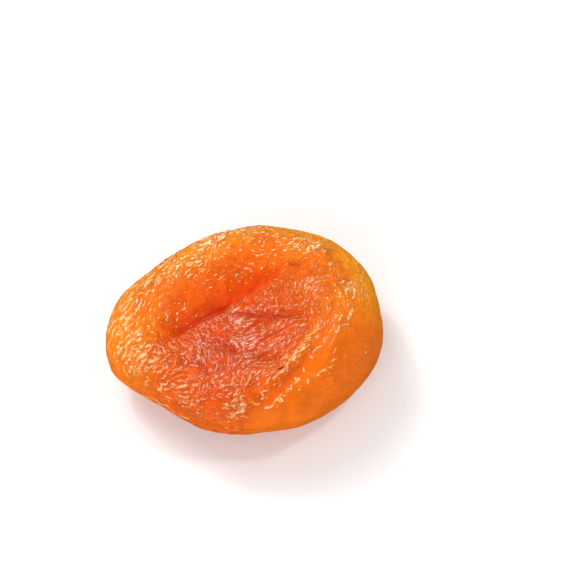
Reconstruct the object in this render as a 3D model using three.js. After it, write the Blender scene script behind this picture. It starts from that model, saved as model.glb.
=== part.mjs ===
// A whole dried apricot, pitted and pressed flat, lying on its underside with its sunken face up.
// The skin is one closed surface. Each point of it is worked out from a direction d out of the fruit's middle:
// an egg-shaped plan outline gives how far it reaches sideways, a plump section gives its height, and the
// hollow, the crease, the folds and the wrinkles are then pressed into it.
// X runs along the length, from the narrow stem end to the blunt tip, and Z is up from the resting surface.

import * as THREE from "three";
import { mergeVertices } from "three/addons/utils/BufferGeometryUtils.js";

// Driving dimensions, in millimetres. Angles are in degrees, seen from above, anticlockwise from +X.
const HALF_LENGTH = 21.0;
const HALF_WIDTH = 16.35;
const WIDEST_HEIGHT = 7.4; // of the widest line above the surface that the fruit rests on
const FACE_RISE = 9.9; // from the widest line to the rim, before the face sinks
const UNDER_DROP = 7.7; // from the widest line to the underside, before it flattens on the surface
const PLAN_POWER = 2.02; // 2 is an ellipse, and more is boxier
const PLAN_POWER_TIP = 0.18; // added at the blunt tip, taken off at the stem end
const SECTION_PLUMP = { out: 0.84, face: 0.8, under: 0.84 }; // under 1 is plumper than an ellipse
const TIP_RISE = 0.05; // how much higher the rim stands at the tip

// Swellings and flats of the plan outline.
const OUTLINE_LOBES = [
  { at: 215, half: 25, out: -1.65 },
  { at: 254, half: 13, out: -0.45 },
  { at: 182, half: 9, out: 0.2 },
  { at: 150, half: 14, out: -0.4 },
  { at: 127, half: 28, out: -1.3 },
  { at: 70, half: 10, out: 0.3 },
  { at: 42, half: 10, out: -0.3 },
  { at: 18, half: 24, out: 0.4 },
  { at: 330, half: 22, out: 0.5 },
  { at: 289, half: 12, out: 0.4 },
  { at: 191, half: 11, out: 0.3 },
];

// The face sinks where the stone was: a broad oval hollow, and a sharp crease that runs along it.
// Away from the crease its depth falls off as exp(-(distance / reach) ** power).
const HOLLOW = { x: 0.6, y: -0.2, turn: 18, halfLength: 16.2, halfWidth: 12.6, depth: 3.5 };
const CREASE = {
  from: [-13.2, -2.6],
  to: [10.2, 7.2],
  bow: 0.6,
  depth: 4.0,
  past: 0.15, // how far it runs on past each end, as a share of its length
  fadeIn: 0.42, // the share of its length that it deepens over
  fadeOut: 0.5,
  tipRadius: 0.35,
  slope: { reach: 5.6, power: 1.25 }, // the long smooth slope down from the back rim
  lip: { reach: 1.5, power: 1.1, share: 0.5 }, // the steep lip of the pad of skin on the near side
  pad: { reach: 6.5, power: 1.6 }, // that pad's slow rise beyond its lip
};

// Folds of the face and of the underside. A negative height is a groove, and bow bends a fold to its left.
const FOLD_TAPER = 0.3; // the share of a fold's length that it fades over, at each end
const FACE_FOLDS = [
  { from: [14.2, 0.2], to: [0.4, -14.8], bow: 2.1, half: 1.1, height: -0.5 },
  { from: [12.8, -0.5], to: [-3.9, -15.2], bow: 2.0, half: 0.8, height: 0.25 },
  { from: [14.8, 1.2], to: [0.5, -15.2], bow: 4.0, half: 0.9, height: 0.25 },
  { from: [-4.6, 2.7], to: [11.4, -3.0], bow: 0.1, half: 0.7, height: -0.6 },
  { from: [-7.2, -1.4], to: [6.4, -9.4], bow: -0.7, half: 0.8, height: -0.5 },
  { from: [-5.6, 0.2], to: [-0.8, -8.4], bow: 0.3, half: 0.5, height: -0.4 },
  { from: [2.0, 5.6], to: [12.0, 5.6], bow: 0.6, half: 0.8, height: -0.4 },
  { from: [-17.4, -1.8], to: [-10.0, 8.6], bow: 0.7, half: 1.3, height: -0.6 },
  { from: [-17.3, -1.4], to: [-11.0, 9.4], bow: 1.3, half: 0.6, height: 0.25 },
  { from: [-12.6, -2.4], to: [-18.4, -3.6], bow: 0.2, half: 0.7, height: -0.4 },
  { from: [-11.6, -3.4], to: [-15.4, -8.0], bow: -0.4, half: 0.7, height: -0.4 },
  { from: [-9.6, -4.0], to: [-10.6, -10.8], bow: 0.5, half: 0.7, height: -0.35 },
  { from: [-14.6, -1.6], to: [-12.8, -3.4], bow: 0.0, half: 0.9, height: 0.6 },
  { from: [-6.6, -5.2], to: [-5.4, -12.6], bow: -0.6, half: 0.8, height: -0.35 },
  { from: [-1.6, -7.4], to: [0.6, -12.6], bow: 0.5, half: 0.7, height: -0.3 },
  { from: [-7.4, 9.4], to: [4.6, 13.0], bow: 0.6, half: 0.9, height: -0.25 },
  { from: [8.6, 8.6], to: [16.4, 4.4], bow: 0.6, half: 0.9, height: -0.3 },
];
const UNDER_FOLDS = [
  { from: [-15.4, 3.4], to: [3.4, 10.6], bow: 1.6, half: 1.3, height: -0.8 },
  { from: [-13.4, -5.4], to: [1.6, -10.4], bow: -1.4, half: 1.1, height: -0.6 },
  { from: [8.2, 6.4], to: [16.6, 0.8], bow: 1.0, half: 1.2, height: -0.7 },
  { from: [5.4, -8.6], to: [14.8, -5.6], bow: -0.8, half: 1.0, height: -0.5 },
  { from: [-9.6, 1.2], to: [-17.6, -1.0], bow: 0.5, half: 1.0, height: -0.5 },
];

// The seam of the fruit runs round the edge, deepest at the near side of the stem end.
const SEAM = { deepest: 218, half: 34, depth: 0.35, depthElsewhere: 0.06, drop: 0.2, sway: 0.6, width: 0.5 };

// The scar of the stem, a puckered dimple at the narrow end.
const STEM = { at: 176, height: 4.6, reach: 1.5, depth: 0.8, puckers: 7, puckerReach: 2.8, puckerDepth: 0.25 };

// Wrinkles, as sums of waves with seeded directions. Grooves lie where the sum is zero, so they wind and join.
// along is the direction that they mostly run in, and fan is how far each wave may turn from it.
const WRINKLES = [
  { side: "face", seed: 11, wavelength: 5.2, along: 24, fan: 42, depth: 0.14, sharp: 0.5 },
  { side: "face", seed: 23, wavelength: 3.2, along: 30, fan: 60, depth: 0.08, sharp: 0.55 },
  { side: "under", seed: 37, wavelength: 5.4, along: 8, fan: 75, depth: 0.3, sharp: 0.5 },
];
const WAVES = 36;
const WAVE_SPREAD = { shortest: 0.8, more: 0.4 }; // of the wavelengths in a sum
const STEEPEST_WAVE = 0.9; // the sine of the steepest wave's angle to the surface that the fruit rests on
const FLANK_SHARE = 0.3; // of the face's wrinkles, on the edge
const GROOVE_MEAN = 0.4; // lifts the skin between the grooves, to keep its mean level
const SWELL = { seed: 5, wavelength: 11, height: 0.16 }; // soft unevenness of the whole skin

// The part of the underside that flattens on the surface stays smooth.
const FOOT = { inner: 6.0, outer: 9.5 };

// The face and the underside take over from the edge where a direction's rise passes from start to start + over.
const EDGE = { start: 0.05, over: 0.45 };

const CELLS = 30; // along each edge of the cube that the skin's mesh is spread from
const SAME_POINT = 1e-4; // the cube's corners closer than this are one point
const ORANGE = 0xe8730c;

const RADIANS = Math.PI / 180;

const clamp01 = (x) => Math.min(1, Math.max(0, x));

// Runs smoothly from 0 to 1 as x does.
function ease(x) {
  const t = clamp01(x);
  return t * t * (3 - 2 * t);
}

// A bell of height 1 at 0 that is 1/e at reach.
const bell = (x, reach) => Math.exp(-((x / reach) ** 2));

// The angle from b to a, between -180 and 180.
const turnBetween = (a, b) => ((((a - b + 180) % 360) + 360) % 360) - 180;

// How far the widest line lies from the middle at an angle, seen from above.
function planRadius(angle) {
  const c = Math.cos(angle * RADIANS);
  const s = Math.sin(angle * RADIANS);
  const power = PLAN_POWER + PLAN_POWER_TIP * c;
  const egg = (Math.abs(c / HALF_LENGTH) ** power + Math.abs(s / HALF_WIDTH) ** power) ** (-1 / power);
  return OUTLINE_LOBES.reduce((r, lobe) => r + lobe.out * bell(turnBetween(angle, lobe.at), lobe.half), egg);
}

// Where a point lies by a bowed line: t runs from 0 to 1 along it, and n is the distance to its left.
function besideLine(x, y, line) {
  const run = [line.to[0] - line.from[0], line.to[1] - line.from[1]];
  const length = Math.hypot(...run);
  const dx = x - line.from[0];
  const dy = y - line.from[1];
  const t = (dx * run[0] + dy * run[1]) / length ** 2;
  const bend = 4 * clamp01(t) * (1 - clamp01(t));
  return { t, n: (dy * run[0] - dx * run[1]) / length - line.bow * bend };
}

// A fold's height at a point: a bell across it, fading out at both ends.
function foldHeight(x, y, fold) {
  const { t, n } = besideLine(x, y, fold);
  return fold.height * ease(t / FOLD_TAPER) * ease((1 - t) / FOLD_TAPER) * bell(n, fold.half);
}

// How deep the face is pressed in at a point, by the broad hollow and the crease.
function sinking(x, y) {
  const c = Math.cos(HOLLOW.turn * RADIANS);
  const s = Math.sin(HOLLOW.turn * RADIANS);
  const dx = x - HOLLOW.x;
  const dy = y - HOLLOW.y;
  const out = Math.hypot((dx * c + dy * s) / HOLLOW.halfLength, (dy * c - dx * s) / HOLLOW.halfWidth);
  const { t, n } = besideLine(x, y, CREASE);
  const along = ease((t + CREASE.past) / CREASE.fadeIn) * ease((1 + CREASE.past - t) / CREASE.fadeOut);
  const off = Math.hypot(n, CREASE.tipRadius) - CREASE.tipRadius;
  const fallOff = ({ reach, power }) => Math.exp(-((off / reach) ** power));
  const share = CREASE.lip.share;
  const near = share * fallOff(CREASE.lip) + (1 - share) * fallOff(CREASE.pad);
  return HOLLOW.depth * (1 - ease(out)) + CREASE.depth * along * (n > 0 ? fallOff(CREASE.slope) : near);
}

// A seeded stream of numbers between 0 and 1, by the common linear congruential rule.
function seeded(seed) {
  let state = seed;
  return () => {
    state = (Math.imul(state, 1664525) + 1013904223) >>> 0;
    return state / 2 ** 32;
  };
}

// A smooth uneven field: the sum of plane waves of about one wavelength, of about unit size.
// With no along, the waves run in every direction.
function waveField({ seed, wavelength, along, fan }) {
  const draw = seeded(seed);
  const waves = Array.from({ length: WAVES }, () => {
    const turn = along === undefined ? 360 * draw() : along + 90 + fan * (2 * draw() - 1);
    const tilt = Math.asin(STEEPEST_WAVE * (2 * draw() - 1));
    const k = (2 * Math.PI) / (wavelength * (WAVE_SPREAD.shortest + WAVE_SPREAD.more * draw()));
    const flat = Math.cos(tilt);
    return {
      x: k * flat * Math.cos(turn * RADIANS),
      y: k * flat * Math.sin(turn * RADIANS),
      z: k * Math.sin(tilt),
      phase: 2 * Math.PI * draw(),
    };
  });
  const size = Math.sqrt(2 / WAVES);
  return (p) => size * waves.reduce((sum, w) => sum + Math.cos(w.x * p.x + w.y * p.y + w.z * p.z + w.phase), 0);
}

const swell = waveField(SWELL);
const wrinkles = WRINKLES.map((w) => ({ ...w, field: waveField(w) }));

// The smooth fruit: where a unit direction meets the skin before it folds and wrinkles.
function plumpPoint(d) {
  const angle = Math.atan2(d.y, d.x) / RADIANS;
  const level = Math.hypot(d.x, d.y);
  const share = level ** SECTION_PLUMP.out;
  const r = planRadius(angle) * share;
  const x = r * Math.cos(angle * RADIANS);
  const y = r * Math.sin(angle * RADIANS);
  if (d.z <= 0) return new THREE.Vector3(x, y, WIDEST_HEIGHT - UNDER_DROP * Math.abs(d.z) ** SECTION_PLUMP.under);
  const rise = FACE_RISE * (1 + TIP_RISE * Math.cos(angle * RADIANS) * share) * d.z ** SECTION_PLUMP.face;
  return new THREE.Vector3(x, y, WIDEST_HEIGHT + rise - faceWeight(d) * sinking(x, y));
}

// How far a direction belongs to the face, and to the underside, from 0 at the edge to 1.
const faceWeight = (d) => ease((d.z - EDGE.start) / EDGE.over);
const underWeight = (d) => ease((-d.z - EDGE.start) / EDGE.over);

// The seam's groove, on a line that sways round the edge.
function seamHeight(p) {
  const angle = Math.atan2(p.y, p.x) / RADIANS;
  const line = WIDEST_HEIGHT - SEAM.drop + SEAM.sway * Math.sin(2 * angle * RADIANS);
  const deep = SEAM.depth * bell(turnBetween(angle, SEAM.deepest), SEAM.half) + SEAM.depthElsewhere;
  return -deep * bell(p.z - line, SEAM.width);
}

// The stem's dimple, and the puckers that run out from it.
function stemHeight(p) {
  const r = planRadius(STEM.at);
  const across = p.y - r * Math.sin(STEM.at * RADIANS);
  const up = p.z - STEM.height;
  const depth = p.x - r * Math.cos(STEM.at * RADIANS);
  const away = Math.hypot(across, up, depth);
  const ray = Math.cos(STEM.puckers * Math.atan2(up, across));
  const puckers = STEM.puckerDepth * ray * ease(away / STEM.reach) * bell(away, STEM.puckerReach);
  return -STEM.depth * bell(away, STEM.reach) - puckers;
}

// How far the skin stands out of the smooth fruit at a point.
function relief(p, d) {
  const face = faceWeight(d);
  const under = underWeight(d);
  const offFoot = d.z < 0 ? ease((Math.hypot(p.x, p.y) - FOOT.inner) / (FOOT.outer - FOOT.inner)) : 1;
  const side = (name) => (name === "face" ? face + FLANK_SHARE * (1 - face - under) : under);
  let height = SWELL.height * swell(p) + seamHeight(p) + stemHeight(p);
  for (const fold of FACE_FOLDS) height += face * foldHeight(p.x, p.y, fold);
  for (const fold of UNDER_FOLDS) height += under * foldHeight(p.x, p.y, fold);
  for (const w of wrinkles) height += side(w.side) * w.depth * (GROOVE_MEAN - bell(w.field(p), w.sharp));
  return height * offFoot;
}

// Splits each square of the mesh along the diagonal that passes closer to the smooth fruit.
function splitCloser(geometry, directions) {
  const index = geometry.index.array;
  const position = geometry.attributes.position;
  const point = (i) => new THREE.Vector3().fromBufferAttribute(position, i);
  const halfWay = (i, j) => point(i).add(point(j)).multiplyScalar(0.5);
  for (let i = 0; i < index.length; i += 6) {
    const [a, b, d] = index.slice(i, i + 3);
    const c = index[i + 4];
    const corners = [a, b, c, d].map((corner) => directions[corner]);
    const middle = corners.reduce((sum, corner) => sum.add(corner), new THREE.Vector3()).normalize();
    const skin = plumpPoint(middle);
    if (halfWay(a, c).distanceTo(skin) < halfWay(b, d).distanceTo(skin)) index.set([a, b, c, a, c, d], i);
  }
}

// The skin's mesh: a cube's grid blown up to a ball, turned so that its rows run along the crease,
// and each point of the ball moved to the smooth fruit and then along its normal by the relief.
function apricotGeometry() {
  const box = new THREE.BoxGeometry(2, 2, 2, CELLS, CELLS, CELLS);
  box.deleteAttribute("normal");
  box.deleteAttribute("uv");
  const geometry = mergeVertices(box, SAME_POINT);
  const position = geometry.attributes.position;
  const creaseTurn = Math.atan2(CREASE.to[1] - CREASE.from[1], CREASE.to[0] - CREASE.from[0]);
  const up = new THREE.Vector3(0, 0, 1);
  const spread = (u) => Math.tan((u * Math.PI) / 4);
  const directions = [];
  for (let i = 0; i < position.count; i++) {
    const d = new THREE.Vector3(spread(position.getX(i)), spread(position.getY(i)), spread(position.getZ(i)));
    d.normalize().applyAxisAngle(up, creaseTurn);
    directions.push(d);
    position.setXYZ(i, ...plumpPoint(d));
  }
  splitCloser(geometry, directions);
  geometry.computeVertexNormals();
  const normal = geometry.attributes.normal;
  for (let i = 0; i < position.count; i++) {
    const p = new THREE.Vector3().fromBufferAttribute(position, i);
    const out = new THREE.Vector3().fromBufferAttribute(normal, i);
    p.addScaledVector(out, relief(p, directions[i]));
    position.setXYZ(i, p.x, p.y, Math.max(0, p.z));
  }
  geometry.computeBoundingBox();
  const middle = geometry.boundingBox.getCenter(new THREE.Vector3());
  geometry.translate(-middle.x, -middle.y, 0);
  geometry.computeVertexNormals();
  return geometry;
}

function driedApricot() {
  const skin = new THREE.MeshStandardMaterial({ color: ORANGE, roughness: 0.4, metalness: 0 });
  const mesh = new THREE.Mesh(apricotGeometry(), skin);
  mesh.name = "dried_apricot";
  return mesh;
}

const group = new THREE.Group();
group.add(driedApricot());

export default group;
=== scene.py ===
"""A whole dried apricot, dressed on its frame: the wrinkled skin, its finish, and a plain studio stage.

The skin repeats the form of the frame's solid with a far finer mesh. A direction out of the fruit's middle
gives a point of the plump fruit, the hollow, the crease and the folds are pressed into it, and small
wrinkles are then raised along the way that the skin has shrunk. Lengths in the tables are in millimetres
where nothing else is said, and angles in degrees, seen from above, anticlockwise from +X.
"""

import bpy
import numpy as np
from bpy.props import FloatProperty, FloatVectorProperty, IntProperty, PointerProperty
from bpy.types import Operator, Panel, PropertyGroup
from mathutils import Matrix, Vector


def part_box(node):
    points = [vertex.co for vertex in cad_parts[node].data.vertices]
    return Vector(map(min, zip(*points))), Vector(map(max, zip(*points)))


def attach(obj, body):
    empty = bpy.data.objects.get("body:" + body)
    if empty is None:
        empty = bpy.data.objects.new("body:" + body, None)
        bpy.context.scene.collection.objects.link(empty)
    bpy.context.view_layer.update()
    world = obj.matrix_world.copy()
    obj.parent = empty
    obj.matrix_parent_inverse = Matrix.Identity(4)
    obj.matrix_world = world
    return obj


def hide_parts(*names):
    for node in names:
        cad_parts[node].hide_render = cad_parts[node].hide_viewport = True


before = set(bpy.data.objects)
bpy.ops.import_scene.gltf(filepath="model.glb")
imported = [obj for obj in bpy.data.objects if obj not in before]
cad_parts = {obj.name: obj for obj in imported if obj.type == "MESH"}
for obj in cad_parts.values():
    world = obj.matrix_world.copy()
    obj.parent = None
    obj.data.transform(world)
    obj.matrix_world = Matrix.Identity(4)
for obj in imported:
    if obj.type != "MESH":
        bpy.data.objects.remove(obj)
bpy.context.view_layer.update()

bl_info = {
    "name": "Dried apricot",
    "version": (1, 0, 0),
    "blender": (4, 5, 0),
    "location": "3D View > Sidebar > Apricot",
    "description": "Builds a whole dried apricot and a plain studio stage round it",
    "category": "Object",
}

NODE = "dried_apricot"
MM = 0.001

# The plump fruit, before it folds. Its widest line is an egg, and its section is plumper than an ellipse.
HALF_LENGTH = 21.0
HALF_WIDTH = 16.35
WIDEST_HEIGHT = 7.4
FACE_RISE = 9.9
UNDER_DROP = 7.7
PLAN_POWER = 2.02
PLAN_POWER_TIP = 0.18
SECTION_OUT = 0.84
SECTION_FACE = 0.8
SECTION_UNDER = 0.84
TIP_RISE = 0.05

# Swellings and flats of the widest line: the angle, the half width of the bell and how far it stands out.
OUTLINE_LOBES = (
    (215, 25, -1.65),
    (254, 13, -0.45),
    (182, 9, 0.2),
    (150, 14, -0.4),
    (127, 28, -1.3),
    (70, 10, 0.3),
    (42, 10, -0.3),
    (18, 24, 0.4),
    (330, 22, 0.5),
    (289, 12, 0.4),
    (191, 11, 0.3),
)

# The hollow of the face, and the crease that runs along it. Past the crease its depth falls off as
# exp(-(distance / reach) ** power).
HOLLOW = {"centre": (0.6, -0.2), "turn": 18, "half_length": 16.2, "half_width": 12.6}
CREASE_LINE = ((-13.2, -2.6), (10.2, 7.2), 0.6)
CREASE_PAST = 0.15
CREASE_FADE_IN = 0.42
CREASE_FADE_OUT = 0.5
CREASE_TIP_RADIUS = 0.35
SLOPE = (5.6, 1.25)
LIP = (1.5, 1.1)
LIP_SHARE = 0.5
PAD = (6.5, 1.6)

# Folds: from, to, how far the line bows to its left, the half width, and the height (a groove is negative).
FOLD_TAPER = 0.3
FACE_FOLDS = (
    ((14.2, 0.2), (0.4, -14.8), 2.1, 1.1, -0.5),
    ((12.8, -0.5), (-3.9, -15.2), 2.0, 0.8, 0.25),
    ((14.8, 1.2), (0.5, -15.2), 4.0, 0.9, 0.25),
    ((-4.6, 2.7), (11.4, -3.0), 0.1, 0.7, -0.6),
    ((-7.2, -1.4), (6.4, -9.4), -0.7, 0.8, -0.5),
    ((-5.6, 0.2), (-0.8, -8.4), 0.3, 0.5, -0.4),
    ((2.0, 5.6), (12.0, 5.6), 0.6, 0.8, -0.4),
    ((-17.4, -1.8), (-10.0, 8.6), 0.7, 1.3, -0.6),
    ((-17.3, -1.4), (-11.0, 9.4), 1.3, 0.6, 0.25),
    ((-12.6, -2.4), (-18.4, -3.6), 0.2, 0.7, -0.4),
    ((-11.6, -3.4), (-15.4, -8.0), -0.4, 0.7, -0.4),
    ((-9.6, -4.0), (-10.6, -10.8), 0.5, 0.7, -0.35),
    ((-14.6, -1.6), (-12.8, -3.4), 0.0, 0.9, 0.6),
    ((-6.6, -5.2), (-5.4, -12.6), -0.6, 0.8, -0.35),
    ((-1.6, -7.4), (0.6, -12.6), 0.5, 0.7, -0.3),
    ((-7.4, 9.4), (4.6, 13.0), 0.6, 0.9, -0.25),
)
UNDER_FOLDS = (
    ((-15.4, 3.4), (3.4, 10.6), 1.6, 1.3, -0.8),
    ((-13.4, -5.4), (1.6, -10.4), -1.4, 1.1, -0.6),
    ((8.2, 6.4), (16.6, 0.8), 1.0, 1.2, -0.7),
    ((5.4, -8.6), (14.8, -5.6), -0.8, 1.0, -0.5),
    ((-9.6, 1.2), (-17.6, -1.0), 0.5, 1.0, -0.5),
)
TROUGH_LINE = FACE_FOLDS[0][:3]
BORDER_LINE = FACE_FOLDS[1][:3]

# The seam round the edge, and the scar of the stem.
SEAM = {"deepest": 218, "half": 34, "depth": 0.35, "elsewhere": 0.06, "drop": 0.2, "sway": 0.6, "width": 0.5}
STEM = {"at": 176, "height": 4.6, "reach": 1.5, "depth": 0.8}
PUCKERS = {"count": 7, "reach": 2.8, "depth": 0.25}

# Broad wrinkles: the side, the seed, the wavelength, the way that they run, how far they fan, the depth and
# how sharp the grooves are.
BROAD_WRINKLES = (
    ("face", 11, 5.2, 24, 42, 0.14, 0.5),
    ("face", 23, 3.2, 30, 60, 0.08, 0.55),
    ("under", 37, 5.4, 8, 75, 0.3, 0.5),
)
WAVES = 36
SHORTEST_WAVE = 0.8
WAVE_SPREAD = 0.4
STEEPEST_WAVE = 0.9
FLANK_SHARE = 0.3
GROOVE_MEAN = 0.4
SWELL_HEIGHT = 0.16

# Smooth uneven fields: the seed and the wavelength.
UNEVEN = {
    "swell": (5, 11),
    "flow": (61, 4.0),
    "level": (71, 6.0),
    "thread x": (81, 1.1),
    "thread y": (82, 1.1),
    "seam thread": (83, 2.6),
    "stroke phase": (91, 2.6),
    "stroke breaks": (92, 2.2),
}

# Where things begin, and over how much they grow to their full strength: downwards, where it is negative.
EDGES = {
    # Of the upright part of a direction.
    "face": (0.05, 0.45),
    "threads": (0.0, 0.2),
    "strokes": (0.0, 0.35),
    # Of the distance from the middle, the height, the depth of the relief, and the sine across the strokes.
    "foot": (6.0, 3.5),
    "fine": (0.1, 0.8),
    "groove": (0.1, 0.5),
    "crest": (0.1, 0.8),
    # Of the distance to the crease's left, and then of the share of the way along it.
    "slope, near": (-0.2, 0.5),
    "slope, far": (10.0, -6.0),
    "crease": (-0.5, 0.6),
    "pad, top": (0.5, -0.8),
    "pad, low": (-19.0, 8.0),
    "pad, left": (-0.25, 0.35),
    "pad, right": (1.35, -0.4),
    "paler": (0.7, 0.5),
    "far": (0.75, 0.3),
    # Of the distance to the left of the pad's border, and of the share of the way along the trough.
    "pad, border": (0.5, -1.2),
    "flank, border": (0.6, 1.8),
    "trough, start": (-0.05, 0.2),
    "trough, end": (1.1, -0.2),
    # Of x, of y, and of the share of the way out to the widest line.
    "flank, left": (-7, 7),
    "flank, back": (2, -9),
    "end": (-12, -5),
    "coarse": (-4, -6),
    "stroked": (-14, -2),
    "hem, left": (3, 8),
    "hem, front": (-9, 5),
    "hem, out": (0.78, 0.14),
}

# How far the deep of the crease, the trough and the coral middle of the pad reach, where the front begins in
# terms of y and how that line leans, and how much the blush pales towards the tip.
CREASE_REACH = 2.2
TROUGH_REACH = 1.1
CORAL = {"x": -2, "y": -3, "reach": 8.5}
FRONT = {"from": 5, "lean": 0.25, "over": 6, "less_at_end": 0.6}
PALER_SHARE = 0.45

# What zones take away from broad wrinkles and from fine ones.
BROAD_LESS = {"slope": 0.8, "flank": 0.6}
FINE_LESS = {"slope": 0.5, "flank": 0.7, "trough": 0.6, "edge": 0.6}

# The level that a strand has to rise past, how uneven it is, and how much higher zones make it.
LEVEL = 0.9
LEVEL_UNEVEN = 0.3
LEVEL_HIGHER = {
    "blush": -0.8,
    "slope": 0.6,
    "flank": 1.2,
    "trough": 0.5,
    "bare end": 0.9,
    "rim": -0.75,
    "far": 0.9,
    "hem": 1.1,
    "under": 0.2,
    "bare front": 0.4,
    "crease": 0.6,
    "edge": 0.5,
    "lines": 1.2,
}
STRAND_RISE = 1.4
PEBBLE_LEAST = 0.2

# Fine wrinkles: the seed, and rounds of spreading that set how wide, how long and how even they are.
FINE_WRINKLES = {
    "strands": {"seed": 101, "even": 3, "along": 7, "wider": 4},
    "pebbles": {"seed": 202, "even": 12, "along": 10, "wider": 24},
}

# How strictly links have to follow the way, the most that a point passes on, and the count of even angles
# that the way is sorted by and how sharply.
LINK_POWER = 8
LINK_MOST = 0.45
WAY_BINS = 6
WAY_POWER = 3

# Thin creases that only the skin shows: a bowed line, its reach and its depth. The first is a notch and the
# next four are lines; both are painted darker, as shade.
THIN_CREASES = (
    ((3.7, -10.3), (5.2, -9.9), 0.1, 0.22, -0.2),
    ((-12.4, -2.5), (1.0, 4.0), 0.4, 0.35, -0.25),
    ((-3.6, 2.2), (8.6, -1.9), 0.1, 0.3, -0.2),
    ((-0.6, -4.0), (3.4, -0.6), 0.4, 0.25, -0.14),
    ((1.0, -5.8), (6.6, -3.2), 0.3, 0.25, -0.12),
    ((-6.6, -12.8), (-3.2, -11.2), 0.4, 0.3, 0.15),
)

# Lone thin ridges of the face: bowed lines at the blunt end, round the crease's tip, low on the left, along
# the pad's border and along the shoulder beyond it.
THREADS = (
    ((-17.9, 3.2), (-16.1, 5.3), 0.2), ((-16.0, 7.5), (-14.5, 8.2), 0.08),
    ((-19.6, 2.1), (-17.7, 2.0), 0.05), ((-19.6, 0.7), (-17.6, 1.0), 0.1),
    ((-18.8, -0.6), (-17.7, 0.3), -0.12), ((-17.0, 4.0), (-17.2, -0.5), 0.1),
    ((-16.5, 2.0), (-14.3, 5.2), -0.33), ((-19.2, -2.1), (-17.6, -1.6), 0.14),
    ((-19.2, -2.9), (-17.3, -2.4), 0.09), ((-18.8, -3.5), (-17.1, -3.2), -0.2),
    ((-17.8, -1.4), (-16.8, -0.7), -0.1), ((-16.8, -3.0), (-15.7, -3.0), -0.03),
    ((-16.4, -1.1), (-15.5, -0.5), 0.05), ((-13.5, 7.3), (-12.5, 8.5), 0.07),
    ((-12.3, 6.8), (-11.2, 8.7), -0.07), ((-12.5, -1.3), (-12.4, -2.5), 0.1),
    ((-11.6, -3.1), (-10.1, -4.4), 0.1), ((-11.6, -3.1), (-9.4, -2.2), -0.08),
    ((-9.8, -4.5), (-9.3, -5.3), 0.04), ((-14.0, -4.9), (-13.2, -5.5), 0.06),
    ((-15.9, -6.1), (-15.6, -6.8), -0.08), ((-15.4, -5.4), (-14.5, -4.6), 0.05),
    ((-13.7, -7.1), (-11.7, -6.5), -0.21), ((-14.0, -9.0), (-11.8, -8.5), -0.15),
    ((-12.9, -9.4), (-11.2, -9.2), -0.16), ((-14.9, -4.8), (-15.7, -5.9), 0.06),
    ((-11.0, -7.8), (-9.7, -7.2), 0.04), ((-10.2, -9.6), (-8.7, -8.8), 0.05),
    ((4.9, -11.0), (6.0, -9.2), 0.1), ((3.0, -11.5), (4.8, -10.5), 0.06),
    ((6.0, -9.2), (7.7, -7.6), 0.05), ((7.7, -7.6), (8.6, -6.7), 0.05), ((8.9, -6.6), (10.5, -4.9), 0.14),
    ((0.7, -13.4), (2.1, -12.7), 0.07), ((0.6, -12.7), (1.5, -13.7), 0.04),
    ((-0.9, -13.9), (0.7, -14.3), 0.05), ((-2.5, -14.5), (-1.1, -14.0), -0.14),
    ((2.7, -12.3), (3.7, -12.1), 0.05), ((-4.0, -14.8), (-2.3, -14.6), 0.05),
    ((1.3, -14.8), (3.0, -14.3), -0.18), ((2.9, -14.3), (3.9, -14.4), 0.29),
    ((3.8, -14.1), (4.6, -13.7), 0.04), ((4.9, -13.6), (5.8, -12.5), 0.16),
    ((5.8, -12.4), (7.2, -12.1), 0.17), ((6.6, -13.1), (7.2, -12.8), -0.05),
    ((8.0, -11.9), (8.5, -12.2), -0.07), ((8.7, -11.7), (9.4, -11.3), -0.05),
    ((9.5, -11.3), (11.1, -10.8), 0.1), ((11.0, -10.4), (12.1, -10.0), -0.37),
    ((11.8, -9.8), (12.7, -9.3), 0.13), ((12.3, -8.8), (13.0, -8.0), 0.06),
    ((13.3, -6.1), (13.8, -4.8), 0.16), ((13.8, -4.8), (15.6, -4.0), -0.23),
    ((8.9, -8.7), (9.2, -9.5), 0.09), ((9.4, -8.3), (11.0, -7.3), 0.04),
    ((11.3, -6.8), (12.3, -6.2), 0.16), ((7.5, -10.3), (7.8, -11.2), 0.1),
    ((13.6, -2.8), (13.5, -3.8), 0.07), ((12.4, -1.9), (13.3, -1.7), 0.03),
    ((15.6, -3.3), (16.5, -2.1), 0.05), ((10.4, -4.1), (10.9, -4.7), 0.1),
    ((14.5, -2.4), (14.0, -4.0), 0.17),
)
THREAD_HALF = 0.16
THREAD_HEIGHT = 0.09
THREAD_TAPER = 0.12
THREAD_WAVER = 0.13

# The thin ridge by the seam: its height, how far it climbs to the stem end, the angles of the climb and the
# ends, how fast it fades, how strong it is and how uneven.
SEAM_THREAD = {
    "height": 7.2,
    "climb": 3.0,
    "climbs": (208, 194),
    "ends": (190, 236),
    "fade": 5,
    "share": 0.8,
    "waver": 0.26,
}

# Even strokes on the stem end: the way that they run, how far apart they are, how uneven, and how whole.
STROKES = {"way": 45, "apart": 0.85, "waver": 0.9, "whole": 0.7, "broken": 0.5}

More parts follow.
